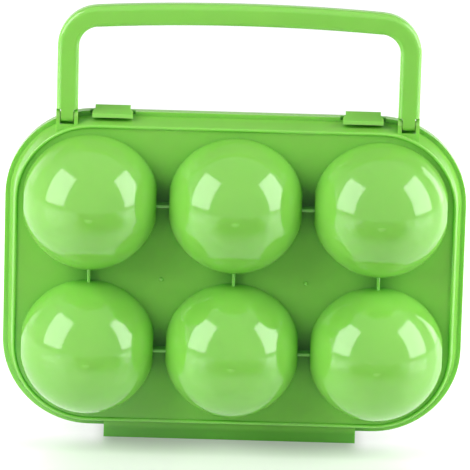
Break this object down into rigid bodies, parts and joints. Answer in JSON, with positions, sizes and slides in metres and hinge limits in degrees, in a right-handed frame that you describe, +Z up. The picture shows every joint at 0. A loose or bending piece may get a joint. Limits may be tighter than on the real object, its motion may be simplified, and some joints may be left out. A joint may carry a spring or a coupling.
{
  "type": "egg box",
  "caption": "Upright clamshell egg carrier of glossy green plastic: moulded half shells with domed cups, living hinge, snap latches and a folding bail handle.",
  "frame": {"origin": "on the surface that the box stands on, midway along its hinge ledges and in the parting plane", "axes": "+X along the box, +Y from the half shell with the handle towards the other one, +Z up to the handle"},
  "size_m": [0.1838, 0.0736, 0.1806],
  "materials": {
    "shell": "glossy green polypropylene",
    "handle": "glossy green polypropylene"
  },
  "bodies": {
    "back": {"back_shell": "shell", "hinge_film": "shell"},
    "front": {"front_shell": "shell"},
    "bail": {"handle": "handle"}
  },
  "joints": [
    {"name": "lid_hinge", "type": "hinge", "parent": "back", "child": "front", "pos_m": [0, 0, -0.00005], "axis": [1, 0, 0], "range_deg": [0, 180], "deforming": ["hinge_film"]},
    {"name": "handle_pivot", "type": "hinge", "parent": "front", "child": "bail", "pos_m": [0, -0.0062, 0.1336], "axis": [1, 0, 0], "range_deg": [0, 90]}
  ]
}
